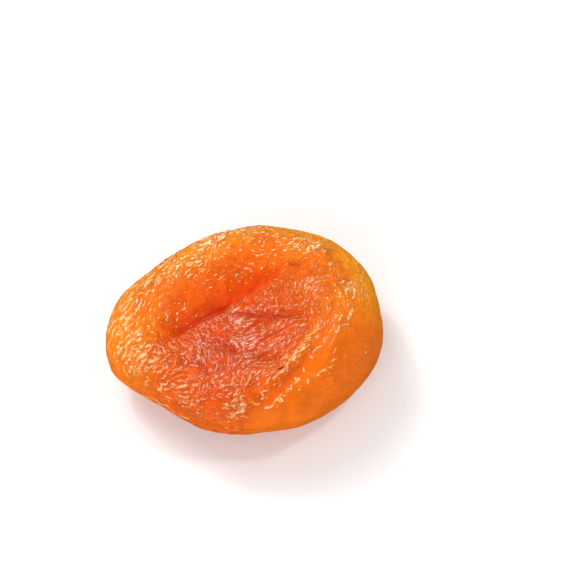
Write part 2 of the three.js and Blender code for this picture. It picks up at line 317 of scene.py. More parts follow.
# The way that the fine wrinkles run at places of the face: x, y and the angle.
WAYS = (
    (-19, 2.5, 45), (-20, -2, 40), (-14.5, 8, 45), (-9.5, 11, 43), (-4, 12.5, 30), (3, 13, 20),
    (10.5, 11.5, 25), (16.5, 7, -62), (18.5, 0.5, 70), (17.5, -4.5, 67), (13.5, 1, 53), (10, 8, 28),
    (5, 6.5, 24), (0, 3, 27), (-6, 4, 35), (7, 0.5, 24), (1.5, -3, 21), (-4.5, -2, -55), (-8.5, -3, -45),
    (-12, -2.5, -40), (-10, -6, 40), (-14.5, -5.5, 45), (-6.5, -5, -70), (-3.5, -7, 78), (-1, -4.5, -50),
    (3, -6.5, 30), (5, -8, 43), (1, -11, 44), (-2, -12.5, 39), (-8, -10.5, 23), (6.5, -14, 33),
    (13, -10, 43), (16, -10.5, 52), (-1.5, -17, 0), (-15.5, -11, -45), (-19, -6, -59), (8.5, -6.8, 50),
    (2.2, -12.2, 45), (-2.2, -14.4, 28), (12, -10, 48), (5, -13.6, 30), (14, -4, 80), (12, 5, 34),
    (13, 8.5, 30), (9.5, 3.5, 30), (12.5, 2.5, 38), (-17.5, -2.5, 45), (-18, 2, 48), (-17, -5, 42),
)

# How far each of them reaches, how strong the way round the fruit is among them, on the face and off it, and
# how far the way wanders.
WAY_REACH = 2.6
ROUND_LEAST = 0.25
ROUND_OFF_FACE = 2.0
WANDER = 0.35

# Fields that only the relief reads, so the mesh doesn't carry them.
RELIEF_ONLY = ("rim", "far", "thin", "broad")

# Noises of the skin: how wide their lumps are, in metres, and how much finer detail they have.
NOISES = {
    "fleck": (0.00022, 1.0),
    "mottle": (0.0045, 2.0),
    "patches": (0.0009, 3.0),
    "broad patches": (0.003, 3.0),
    "dotted": (0.0032, 2.0),
    "rough": (0.0012, 2.0),
}

# Ramps of the skin: from low and high to 0 and 1, or to the two numbers that follow.
RAMPS = {
    "strands, coarse": (0, 1, 0.35, 0.9),
    "grain, coarse": (0, 1, 0.95, 0.5),
    "speckle": (0.3, 0.7, -0.4, 0.4),
    "speckle, pad": (0.3, 0.7, -0.8, 0.8),
    "level": (0, 0.6),
    "level, pad": (-0.7, 1.3),
    "top": (0.6, 1.3),
    "top, pad": (1.3, 2.8),
    "mottle": (0.35, 0.65),
    "patches": (0.3, 0.7, -0.12, 0.12),
    "patches, flank": (0, 1, 1, 0.35),
    "broad patches": (0.35, 0.65, -0.07, 0.07),
    "dots, pad": (0, 0.5, 1, 0),
    "dots, side": (0.2, 1, 1, 0.3),
    "dots, flank": (0, 1, 1, 0.15),
    "dotted": (0.42, 0.56),
    "thread": (0.25, 0.95),
    "thread, side": (0.3, 0.55, 0.3, 0.8),
    "thread, top": (0.48, 0.62, 0, 0.7),
    "notch": (0.2, 1),
    "calm": (0, 1, 1, 0.4),
    "relief": (-1.5, 1.5),
}

# The flecks between which the painted highlight on the ridges grows, and the noise between which the skin
# gets rougher, and how much.
HIGHLIGHT_FLECKS = (0.35, 0.6)
ROUGH = (0.3, 0.7)
ROUGH_LESS = 0.06
ROUGH_MORE = 0.1

# The grain and the dots: lengths in metres, how strong the grain is, how far apart its angles are taken from
# the noise, how long the dots are to their width, their turn and how soft their rims are.
GRAIN = {"length": 0.0009, "width": 0.00032, "gain": 10.7, "apart": 0.05}
DOTS = {"size": 0.0008, "reach": 0.24, "long": 2.0, "turn": 45, "soft": 0.08}

# Shares of the painted highlight on the tops, of the painted shade in the lines and in the grooves off and
# on the pad, and of the bump.
HIGHLIGHT_TOP_SHARE = 0.75
LINE_SHADE_SHARE = 0.8
GROOVE_SHADE_LEAST = 0.05
GROOVE_SHADE_ON_PAD = 0.35
FLECK_BUMP = 0.2
DOT_BUMP = 0.1
BUMP_DEPTH = 0.0002

# The finish of the skin that stays as it is, by the shader's own names.
FINISH = {
    "IOR": 1.46,
    "Specular IOR Level": 0.2,
    "Subsurface Radius": (1.0, 0.32, 0.08),
    "Coat Roughness": 0.16,
    "Sheen Roughness": 0.3,
}

# The picture's width in pixels, the floor, and how near and how far the camera sees, in metres.
IMAGE_SIZE = 562
FLOOR_HALF = 1.2
FLOOR_ROUGHNESS = 0.8
NEAR_CLIP = 0.01
FAR_CLIP = 10

# The lights: the setting of their power, where they stand and how wide they are, in metres, and whether they
# show in the gloss.
LIGHTS = {
    "key": ("key_power", (-0.17, 0.28, 0.36), 0.22, False),
    "fill": ("fill_power", (-0.20, -0.36, 0.26), 0.40, False),
    "glint left": ("glint_power", (-0.17, 0.28, 0.36), 0.05, True),
    "glint right": ("glint_power", (0.22, 0.06, 0.42), 0.05, True),
}


def ease(x):
    """Runs smoothly from 0 to 1 as x does: 3 t^2 - 2 t^3 of x held between 0 and 1."""
    t = np.clip(x, 0, 1)
    return t * t * (3 - 2 * t)


def past(edge, value):
    """How far a value lies past a named edge, from 0 to 1."""
    start, over = EDGES[edge]
    return ease((value - start) / over)


def left_over(zone, shares):
    """What zones leave of 1: the product over them of 1 - share * zone."""
    left = 1
    for name, share in shares.items():
        left = left * (1 - share * zone[name])
    return left


def bell(x, reach):
    """A bell of height 1 at 0 that is 1/e at reach."""
    return np.exp(-((x / reach) ** 2))


def turn_between(a, b):
    """The angle from b to a, between -180 and 180 degrees."""
    return (a - b + 180) % 360 - 180


def ball_grid(cells):
    """Unit directions and the squares between them: a cube whose three edges have the given counts of cells.

    Each face's two parameters run from -1 to 1, are spread by the tangent of an eighth of a turn, which
    keeps the squares even, and are drawn in to the unit ball. Points that faces share are merged.
    """
    steps = [np.tan(np.linspace(-1, 1, count + 1) * np.pi / 4) for count in cells]
    points = []
    squares = []
    start = 0
    for axis in range(3):
        u, v = np.meshgrid(steps[(axis + 1) % 3], steps[(axis + 2) % 3], indexing="ij")
        index = np.arange(u.size).reshape(u.shape)
        loop = (index[:-1, :-1], index[1:, :-1], index[1:, 1:], index[:-1, 1:])
        square = np.stack(loop, -1).reshape(-1, 4)
        for side in (1, -1):
            face = np.full(u.shape + (3,), float(side))
            face[..., (axis + 1) % 3] = u
            face[..., (axis + 2) % 3] = v
            points.append(face.reshape(-1, 3))
            squares.append(start + square[:, ::side])
            start += u.size
    points = np.concatenate(points)
    points /= np.linalg.norm(points, axis=1, keepdims=True)
    _, first, merged = np.unique(np.round(points, 6), axis=0, return_index=True, return_inverse=True)
    return points[first], merged.reshape(-1)[np.concatenate(squares)]


def turned(points, angle):
    """Points turned about Z by an angle in degrees."""
    c, s = np.cos(np.radians(angle)), np.sin(np.radians(angle))
    x, y, z = points.T
    return np.stack((c * x - s * y, s * x + c * y, z), 1)


def plan_radius(angle):
    """How far the widest line lies from the middle: a superellipse of a power that grows to the tip, plus
    bells."""
    c = np.cos(np.radians(angle))
    s = np.sin(np.radians(angle))
    power = PLAN_POWER + PLAN_POWER_TIP * c
    radius = (np.abs(c / HALF_LENGTH) ** power + np.abs(s / HALF_WIDTH) ** power) ** (-1 / power)
    for at, half, out in OUTLINE_LOBES:
        radius = radius + out * bell(turn_between(angle, at), half)
    return radius


def beside_line(x, y, line):
    """Where points lie by a bowed line: t from 0 to 1 along it, and n, the distance to its left."""
    start, end, bow = line
    run_x = end[0] - start[0]
    run_y = end[1] - start[1]
    length = np.hypot(run_x, run_y)
    dx = x - start[0]
    dy = y - start[1]
    t = (dx * run_x + dy * run_y) / length**2
    held = np.clip(t, 0, 1)
    return t, (dy * run_x - dx * run_y) / length - bow * 4 * held * (1 - held)


def fold_height(x, y, fold, taper=FOLD_TAPER):
    """A fold's height: a bell across its line, fading out over a share of it at both ends."""
    t, n = beside_line(x, y, fold[:3])
    half, height = fold[3:]
    return height * ease(t / taper) * ease((1 - t) / taper) * bell(n, half)


def fall_off(off, reach, power):
    """exp(-(off / reach) ** power)."""
    return np.exp(-((off / reach) ** power))


def crease_place(x, y):
    """How far points lie along the crease, to its left, and how strong the crease is there."""
    t, n = beside_line(x, y, CREASE_LINE)
    along = ease((t + CREASE_PAST) / CREASE_FADE_IN) * ease((1 + CREASE_PAST - t) / CREASE_FADE_OUT)
    return t, n, along


def hollow_share(x, y):
    """0 outside the face's oval hollow, rising smoothly to 1 at its middle."""
    c = np.cos(np.radians(HOLLOW["turn"]))
    s = np.sin(np.radians(HOLLOW["turn"]))
    dx = x - HOLLOW["centre"][0]
    dy = y - HOLLOW["centre"][1]
    out = np.hypot((dx * c + dy * s) / HOLLOW["half_length"], (dy * c - dx * s) / HOLLOW["half_width"])
    return 1 - ease(out)


def sinking(x, y, form):
    """How deep the face is pressed in: the hollow, plus the crease with a long slope behind it and a lip in
    front."""
    _, n, along = crease_place(x, y)
    off = np.hypot(n, CREASE_TIP_RADIUS) - CREASE_TIP_RADIUS
    near = LIP_SHARE * fall_off(off, *LIP) + (1 - LIP_SHARE) * fall_off(off, *PAD)
    across = np.where(n > 0, fall_off(off, *SLOPE), near)
    return (form.hollow_depth * hollow_share(x, y) + form.crease_depth * along * across) / MM


def seeded(seed):
    """A stream of numbers between 0 and 1, by the common linear congruential rule."""
    state = seed
    while True:
        state = (state * 1664525 + 1013904223) % 2**32
        yield state / 2**32


def wave_field(points, seed, wavelength, along=None, fan=0):
    """A smooth uneven field of unit size: the sum of plane waves of about one wavelength.

    With no along, the waves run in every direction.
    """
    draw = seeded(seed)
    turn, tilt, length, phase = np.array([[next(draw) for _ in range(4)] for _ in range(WAVES)]).T
    turn = 360 * turn if along is None else along + 90 + fan * (2 * turn - 1)
    rise = STEEPEST_WAVE * (2 * tilt - 1)
    flat = np.sqrt(1 - rise**2)
    k = 2 * np.pi / (wavelength * (SHORTEST_WAVE + WAVE_SPREAD * length))
    ways = np.stack((flat * np.cos(np.radians(turn)), flat * np.sin(np.radians(turn)), rise))
    return np.sqrt(2 / WAVES) * np.cos(points @ (k * ways) + 2 * np.pi * phase).sum(1)


def face_weight(directions):
    """How far a direction belongs to the face, from 0 at the edge to 1."""
    return past("face", directions[:, 2])


def under_weight(directions):
    """How far a direction belongs to the underside, from 0 at the edge to 1."""
    return past("face", -directions[:, 2])


def plump_points(directions, form):
    """The smooth fruit: the plan radius times a power of the level part of a direction, and a rise or a drop
    that is a power of its upright part, less the sinking of the face."""
    angle = np.degrees(np.arctan2(directions[:, 1], directions[:, 0]))
    level = np.hypot(directions[:, 0], directions[:, 1])
    share = level**SECTION_OUT
    radius = plan_radius(angle) * share
    x = radius * np.cos(np.radians(angle))
    y = radius * np.sin(np.radians(angle))
    upright = np.abs(directions[:, 2])
    rise = FACE_RISE * (1 + TIP_RISE * np.cos(np.radians(angle)) * share) * upright**SECTION_FACE
    face = rise - face_weight(directions) * sinking(x, y, form)
    under = -UNDER_DROP * upright**SECTION_UNDER
    return np.stack((x, y, WIDEST_HEIGHT + np.where(directions[:, 2] > 0, face, under)), 1)


def vertex_normals(points, squares):
    """Unit normals at the points: the sum, over the squares round each, of the diagonals' cross product."""
    a, b, c, d = (points[squares[:, k]] for k in range(4))
    facing = np.cross(c - a, d - b)
    normals = np.empty_like(points)
    for axis in range(3):
        normals[:, axis] = np.bincount(squares.ravel(), np.repeat(facing[:, axis], 4), len(points))
    return normals / np.linalg.norm(normals, axis=1, keepdims=True)


def seam_height(points):
    """The seam's groove: a bell across a line that sways round the edge, deepest beside the stem end."""
    angle = np.degrees(np.arctan2(points[:, 1], points[:, 0]))
    line = WIDEST_HEIGHT - SEAM["drop"] + SEAM["sway"] * np.sin(2 * np.radians(angle))
    deep = SEAM["depth"] * bell(turn_between(angle, SEAM["deepest"]), SEAM["half"]) + SEAM["elsewhere"]
    return -deep * bell(points[:, 2] - line, SEAM["width"])


def stem_height(points):
    """The stem's dimple: a bell round the scar, with a ring of puckers that run out from it."""
    at = np.radians(STEM["at"])
    radius = plan_radius(STEM["at"])
    depth = points[:, 0] - radius * np.cos(at)
    across = points[:, 1] - radius * np.sin(at)
    up = points[:, 2] - STEM["height"]
    away = np.sqrt(across**2 + up**2 + depth**2)
    ray = np.cos(PUCKERS["count"] * np.arctan2(up, across))
    puckers = PUCKERS["depth"] * ray * ease(away / STEM["reach"]) * bell(away, PUCKERS["reach"])
    return -STEM["depth"] * bell(away, STEM["reach"]) - puckers


def foot_share(points, directions):
    """0 where the underside has flattened, rising to 1 past it."""
    off = past("foot", np.hypot(points[:, 0], points[:, 1]))
    return np.where(directions[:, 2] < 0, off, 1)


def broad_relief(points, directions, zone):
    """How far the skin stands out of the plump fruit: swell, seam, stem, folds and broad wrinkles."""
    x, y = points[:, 0], points[:, 1]
    face = face_weight(directions)
    under = under_weight(directions)
    sides = {"face": (face + FLANK_SHARE * (1 - face - under)) * zone["broad"], "under": under}
    height = SWELL_HEIGHT * wave_field(points, *UNEVEN["swell"])
    height = height + seam_height(points) + stem_height(points) + zone["thin"]
    for weight, folds in ((face, FACE_FOLDS), (under, UNDER_FOLDS)):
        for fold in folds:
            height = height + weight * fold_height(x, y, fold)
    for side, seed, wavelength, along, fan, depth, sharp in BROAD_WRINKLES:
        field = wave_field(points, seed, wavelength, along, fan)
        height = height + sides[side] * depth * (GROOVE_MEAN - bell(field, sharp))
    return height * foot_share(points, directions)


def stroke_share(points, directions):
    """The even strokes on the stem end, from 0 to 1: the crests of a sine across their way, with an uneven
    phase, broken up along it by a soft field."""
    x, y = points[:, 0], points[:, 1]
    way = np.radians(STROKES["way"])
    across = y * np.cos(way) - x * np.sin(way)
    phase = STROKES["waver"] * wave_field(points, *UNEVEN["stroke phase"])
    crest = np.sin(2 * np.pi * across / STROKES["apart"] + phase)
    whole = ease(STROKES["whole"] + STROKES["broken"] * wave_field(points, *UNEVEN["stroke breaks"]))
    return past("stroked", x) * past("strokes", directions[:, 2]) * whole * past("crest", crest)


def thread_share(points, directions):
    """The lone thin ridges, from 0 to 1: bells across bowed lines of the face, which fade at both ends, the
    strokes, and a bell across a line that runs low round the edge by the seam and climbs to the stem end."""
    x = points[:, 0] + THREAD_WAVER * wave_field(points, *UNEVEN["thread x"])
    y = points[:, 1] + THREAD_WAVER * wave_field(points, *UNEVEN["thread y"])
    share = np.zeros(len(points))
    for line in THREADS:
        share = np.maximum(share, fold_height(x, y, (*line, THREAD_HALF, 1.0), THREAD_TAPER))
    share = share * past("threads", directions[:, 2])
    share = np.maximum(share, stroke_share(points, directions))
    z = points[:, 2] + SEAM_THREAD["waver"] * wave_field(points, *UNEVEN["seam thread"])
    angle = np.degrees(np.arctan2(y, x)) % 360
    foot, top = SEAM_THREAD["climbs"]
    first, last = SEAM_THREAD["ends"]
    line = SEAM_THREAD["height"] + SEAM_THREAD["climb"] * ease((foot - angle) / (foot - top))
    ends = ease((angle - first) / SEAM_THREAD["fade"]) * ease((last - angle) / SEAM_THREAD["fade"])
    return np.maximum(share, SEAM_THREAD["share"] * ends * bell(z - line, THREAD_HALF))


def zones(points, directions):
    """The parts of the skin, each from 0 to 1, as products of eased edges and bells.

    They are the smooth slope behind the crease and the deep of the crease, the pad in front with its blush,
    its coral middle and its far end, the trough that borders it, the smooth near flank beyond, the stem end,
    the front, the rest of the face as the rim, the hem at the tip's edge, where the skin is painted golden
    as a glow of light through the thin edge, the sides, the lone thin ridges, and the notch and the lines of
    the thin creases. Thin is the height of those ridges and creases, and broad is what is left of broad
    wrinkles.
    """
    x, y = points[:, 0], points[:, 1]
    face = face_weight(directions)
    t, n, along = crease_place(x, y)
    trough_t, trough_n = beside_line(x, y, TROUGH_LINE)
    _, border_n = beside_line(x, y, BORDER_LINE)
    slope = face * along * past("slope, near", n) * past("slope, far", n)
    pad = face * past("pad, top", n) * past("pad, border", border_n) * past("pad, left", t)
    pad = pad * past("pad, low", n) * past("pad, right", t)
    trough = face * bell(trough_n, TROUGH_REACH)
    trough = trough * past("trough, start", trough_t) * past("trough, end", trough_t)
    flank = past("flank, border", border_n) * past("flank, left", x) * past("flank, back", y)
    end = past("end", x)
    front = ease((-y - FRONT["from"] - FRONT["lean"] * x) / FRONT["over"]) * (1 - FRONT["less_at_end"] * end)
    outward = np.hypot(x / HALF_LENGTH, y / HALF_WIDTH)
    creases = [face * fold_height(x, y, crease) for crease in THIN_CREASES]
    thin = [height / crease[4] for height, crease in zip(creases, THIN_CREASES)]
    threads = thread_share(points, directions)
    zone = {
        "slope": slope,
        "crease": face * along * past("crease", n) * bell(np.maximum(n, 0), CREASE_REACH),
        "pad": pad,
        "blush": pad * (1 - PALER_SHARE * past("paler", t)),
        "coral": pad * bell(np.hypot(x - CORAL["x"], y - CORAL["y"]), CORAL["reach"]),
        "far": pad * past("far", t),
        "coarse": face * past("coarse", x) * (1 - slope),
        "trough": trough,
        "flank": flank,
        "front": front,
        "side": 1 - face,
        "rim": face * (1 - slope) * (1 - pad) * (1 - flank) * (1 - trough) * (1 - front),
        "hem": past("hem, out", outward) * past("hem, left", x) * past("hem, front", y),
        "end": end,
        "threads": threads,
        "notch": thin[0],
        "lines": np.max(thin[1:-1], axis=0),
        "thin": sum(creases) + THREAD_HEIGHT * threads,
    }
    zone["broad"] = left_over(zone, BROAD_LESS)
    return zone


def flow(points, normals, directions):
    """The way that the fine wrinkles run, as unit vectors along the skin.

    On the face it is mixed from the listed ways by how near each is, as doubled angles, which have no front
    or back. Elsewhere it goes round the fruit. A slow wander is added.
    """
    x, y = points[:, 0], points[:, 1]
    face = face_weight(directions)
    round_way = np.arctan2(y / HALF_WIDTH**2, x / HALF_LENGTH**2) + np.pi / 2
    away = ROUND_LEAST + ROUND_OFF_FACE * (1 - face)
    doubled = away * np.stack((np.cos(2 * round_way), np.sin(2 * round_way)))
    for at_x, at_y, angle in WAYS:
        near = bell(np.hypot(x - at_x, y - at_y), WAY_REACH)
        doubled[0] += near * np.cos(2 * np.radians(angle))
        doubled[1] += near * np.sin(2 * np.radians(angle))
    angle = np.arctan2(doubled[1], doubled[0]) / 2 + WANDER * wave_field(points, *UNEVEN["flow"])
    way = np.stack((np.cos(angle), np.sin(angle), 0 * x), 1)
    way -= normals * (way * normals).sum(1, keepdims=True)
    return angle, way / np.maximum(np.linalg.norm(way, axis=1, keepdims=True), 1e-6)


def way_shares(angle):
    """How near the way lies to each of a few even angles, for grain that has to run along it: a power of the
    cosine of twice the angle between, where positive, scaled so that the squares add up to one."""
    bins = np.pi * np.arange(WAY_BINS) / WAY_BINS
    near = np.maximum(np.cos(2 * (angle[:, None] - bins)), 0) ** WAY_POWER
    near /= np.sqrt((near**2).sum(1, keepdims=True))
    return {f"way_{k}": near[:, k] for k in range(WAY_BINS)}


def skin_links(squares, count):
    """Each pair of points that share a side or a diagonal of a square, once."""
    pairs = np.concatenate([squares[:, ends] for ends in ((0, 1), (1, 2), (2, 3), (3, 0), (0, 2), (1, 3))])
    pairs.sort(axis=1)
    codes = np.unique(pairs[:, 0] * count + pairs[:, 1])
    return codes // count, codes % count


def spread(values, links, shares, rounds):
    """Values after some rounds in which each point takes shares of the difference to those linked to it."""
    start, end = links
    count = len(values)
    for _ in range(rounds):
        passed = shares * (values[end] - values[start])
        values = values + np.bincount(start, passed, count) - np.bincount(end, passed, count)
    return values


def link_shares(points, links, way=None):
    """What share of a difference each link passes on: less for long links, and for those that run across
    way, held so that no point passes on more than a set part."""
    start, end = links
    step = points[end] - points[start]
    length = np.linalg.norm(step, axis=1)
    raw = 1 / length**2
    if way is not None:
        cosine = ((way[start] + way[end]) * step).sum(1) / (2 * length)
        raw = raw * cosine**LINK_POWER
    total = np.bincount(start, raw, len(points)) + np.bincount(end, raw, len(points))
    return LINK_MOST * raw / np.maximum(total[start], total[end])


def fine_field(points, links, way, seed, even, along, wider):
    """Wrinkles of one size, of unit size and either sign: seeded noise, spread evenly and then along the way
    that the skin has shrunk, less the same spread wider, so that only one width is left."""
    noise = np.random.default_rng(seed).standard_normal(len(points))
    evenly = link_shares(points, links)
    lengthwise = link_shares(points, links, way)
    narrow = spread(noise, links, evenly, even)
    narrow = spread(narrow, links, lengthwise, along)
    field = narrow - spread(narrow, links, evenly, wider)
    return field / field.std()


def fine_relief(points, directions, normals, squares, zone, form):
    """The small wrinkles: where a field of strands rises past a level, which is low on the pad and high
    where the skin is smooth, a rounded strand stands out. Low pebbles lie under them. Also gives the fields
    that the colours read."""
    links = skin_links(squares, len(points))
    angle, way = flow(points, normals, directions)
    strands = fine_field(points, links, way, **FINE_WRINKLES["strands"])
    pebbles = fine_field(points, links, way, **FINE_WRINKLES["pebbles"])
    under = under_weight(directions)
    bare = 1 - zone["pad"]
    zone = {
        **zone,
        "under": under,
        "edge": zone["side"] - under,
        "bare end": zone["end"] * bare,
        "bare front": zone["front"] * bare,
    }
    first = LEVEL + LEVEL_UNEVEN * wave_field(points, *UNEVEN["level"])
    for name, higher in LEVEL_HIGHER.items():
        first = first + higher * zone[name]
    raised = ease((strands - first) / STRAND_RISE)
    smooth = left_over(zone, FINE_LESS)
    low = PEBBLE_LEAST + (1 - PEBBLE_LEAST) * smooth
    height = form.wrinkle_depth * raised * smooth + form.pebble_depth * pebbles * low
    return height / MM, {"strands": strands, "first": first, **way_shares(angle)}


def fitted(points):
    """Points moved and stretched a hair to fill the box of the frame's own solid."""
    low, high = (np.array(corner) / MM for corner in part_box(NODE))
    own_low, own_high = points.min(0), points.max(0)
    return low + (points - own_low) * (high - low) / (own_high - own_low)


def skin_surface(form):
    """The whole skin: points in millimetres, squares, and the fields that its colours read."""
    directions, squares = ball_grid((form.cells_long, form.cells_wide, form.cells_high))
    (start_x, start_y), (end_x, end_y), _ = CREASE_LINE
    directions = turned(directions, np.degrees(np.arctan2(end_y - start_y, end_x - start_x)))
    points = plump_points(directions, form)
    zone = zones(points, directions)
    relief = broad_relief(points, directions, zone)
    points = points + vertex_normals(points, squares) * relief[:, None]
    normals = vertex_normals(points, squares)
    height, fields = fine_relief(points, directions, normals, squares, zone, form)
    points = points + normals * (height * past("fine", points[:, 2]))[:, None]
    points[:, 2] = np.maximum(points[:, 2], 0)
    fields = {**zone, **fields, "groove": past("groove", -relief)}
    return fitted(points), squares, {name: fields[name] for name in fields if name not in RELIEF_ONLY}


def skin_object(form):
    """The mesh object of the skin, in metres, smooth shaded, with its fields as point attributes."""
    points, squares, fields = skin_surface(form)
    mesh = bpy.data.meshes.new(NODE + "_skin")
    mesh.vertices.add(len(points))
    mesh.vertices.foreach_set("co", (points * MM).ravel())
    mesh.loops.add(squares.size)
    mesh.loops.foreach_set("vertex_index", squares.ravel())
    mesh.polygons.add(len(squares))
    mesh.polygons.foreach_set("loop_start", np.arange(0, squares.size, 4))
    mesh.polygons.foreach_set("use_smooth", np.ones(len(squares), bool))
    mesh.update(calc_edges=True)
    mesh.validate()
    for name, values in fields.items():
        attribute = mesh.attributes.new(name, "FLOAT", "POINT")
        attribute.data.foreach_set("value", values.astype(np.float32))
    piece = bpy.data.objects.new(NODE + "_skin", mesh)
    bpy.context.scene.collection.objects.link(piece)
    return piece


class Nodes:
    """A short hand for building a material's tree."""

    def __init__(self, material):
        material.use_nodes = True
        self.tree = material.node_tree
        self.shader = self.tree.nodes["Principled BSDF"]

    def add(self, kind, settings=None, **inputs):
        """A node of a kind, with its settings, and its inputs set or linked: by name, or by number as _0."""
        node = self.tree.nodes.new(kind)
        for name, value in (settings or {}).items():
            setattr(node, name, value)
        for name, value in inputs.items():
            key = int(name[1:]) if name.startswith("_") else name.replace("_", " ")
            self.put(node.inputs[key], value)
        return node

    def put(self, socket, value):
        """Links a socket to another's output, or sets its value."""
        if isinstance(value, bpy.types.NodeSocket):
            self.tree.links.new(value, socket)
        else:
            socket.default_value = value

    def field(self, name):
        """One of the mesh's own fields."""
        return self.add("ShaderNodeAttribute", {"attribute_name": name}).outputs["Fac"]

    def maths(self, operation, *values):
        """The result of a sum on numbers."""
        inputs = {f"_{k}": value for k, value in enumerate(values)}
        return self.add("ShaderNodeMath", {"operation": operation}, **inputs).outputs[0]

    def ramp(self, value, low, high, to_low=0.0, to_high=1.0):
        """A number carried from low..high to to_low..to_high, held at both ends."""
        node = self.add("ShaderNodeMapRange", {"interpolation_type": "SMOOTHSTEP"}, Value=value)
        for name, bound in zip(("From Min", "From Max", "To Min", "To Max"), (low, high, to_low, to_high)):
            node.inputs[name].default_value = bound
        return node.outputs["Result"]

    def mix(self, share, a, b):
        """Colour a, going to colour b as share goes from 0 to 1."""
        return self.add("ShaderNodeMix", {"data_type": "RGBA"}, _0=share, _6=a, _7=b).outputs[2]

    def mix_number(self, share, a, b):
        """Number a, going to number b as share goes from 0 to 1."""
        return self.add("ShaderNodeMix", {"data_type": "FLOAT"}, _0=share, _2=a, _3=b).outputs[0]

    def curve(self, name, value):
        """A number carried by a named ramp."""
        return self.ramp(value, *RAMPS[name])

    def curve_on(self, pad, name, value):
        """A number carried by a named ramp, going to its twin for the pad as pad goes from 0 to 1."""
        return self.mix_number(pad, self.curve(name, value), self.curve(name + ", pad", value))

    def product(self, first, second):
        """One number times another."""
        return self.maths("MULTIPLY", first, second)

    def shade(self, colour, by):
        """A colour made brighter by a share of itself, or darker where the share is negative."""
        bright = self.maths("ADD", by, 1.0)
        node = self.add("ShaderNodeVectorMath", {"operation": "SCALE"}, _0=colour, Scale=bright)
        return node.outputs[0]

    def noise(self, place, size, detail):
        """Soft noise whose lumps are about size metres wide."""
        return self.add("ShaderNodeTexNoise", Vector=place, Scale=1 / size, Detail=detail).outputs["Fac"]

    def lumps(self, name, place):
        """A named noise."""
        return self.noise(place, *NOISES[name])

    def turned(self, place, angle, size, shift=0.0):
        """A place as seen from a frame that is scaled, turned by an angle in radians and moved along X."""
        node = self.add("ShaderNodeMapping", {"vector_type": "TEXTURE"}, Vector=place)
        node.inputs["Location"].default_value = (shift, 0, 0)
        node.inputs["Rotation"].default_value = (0, 0, angle)
        node.inputs["Scale"].default_value = size
        return node.outputs["Vector"]

    def dots(self, place):
        """Small lone dots and dashes: 1 near the middles of uneven cells, drawn out along one way, each as
        far as its own share of the reach, which is a part of the cell."""
        size = (DOTS["long"] * DOTS["size"], DOTS["size"], DOTS["size"])
        drawn = self.turned(place, np.radians(DOTS["turn"]), size)
        cells = self.add("ShaderNodeTexVoronoi", Vector=drawn, Scale=1.0)
        own = self.add("ShaderNodeSeparateColor", Color=cells.outputs["Color"]).outputs[0]
        inside = self.maths("SUBTRACT", self.product(own, DOTS["reach"]), cells.outputs["Distance"])
        return self.ramp(inside, 0.0, DOTS["soft"])

    def grain(self, place):
        """Noise about zero, stretched along the skin's own way: one noise for each of the even angles,
        turned and stretched to it, times how near the way lies to it."""
        size = (GRAIN["length"], GRAIN["width"], GRAIN["width"])
        total = 0.0
        for k in range(WAY_BINS):
            noise = self.noise(self.turned(place, np.pi * k / WAY_BINS, size, GRAIN["apart"] * k), 1.0, 1.0)
            centred = self.maths("MULTIPLY_ADD", noise, GRAIN["gain"], -0.5 * GRAIN["gain"])
            total = self.maths("MULTIPLY_ADD", centred, self.field(f"way_{k}"), total)
        return total


def opaque(colour):
    """A colour with full alpha."""
    return (*colour, 1.0)


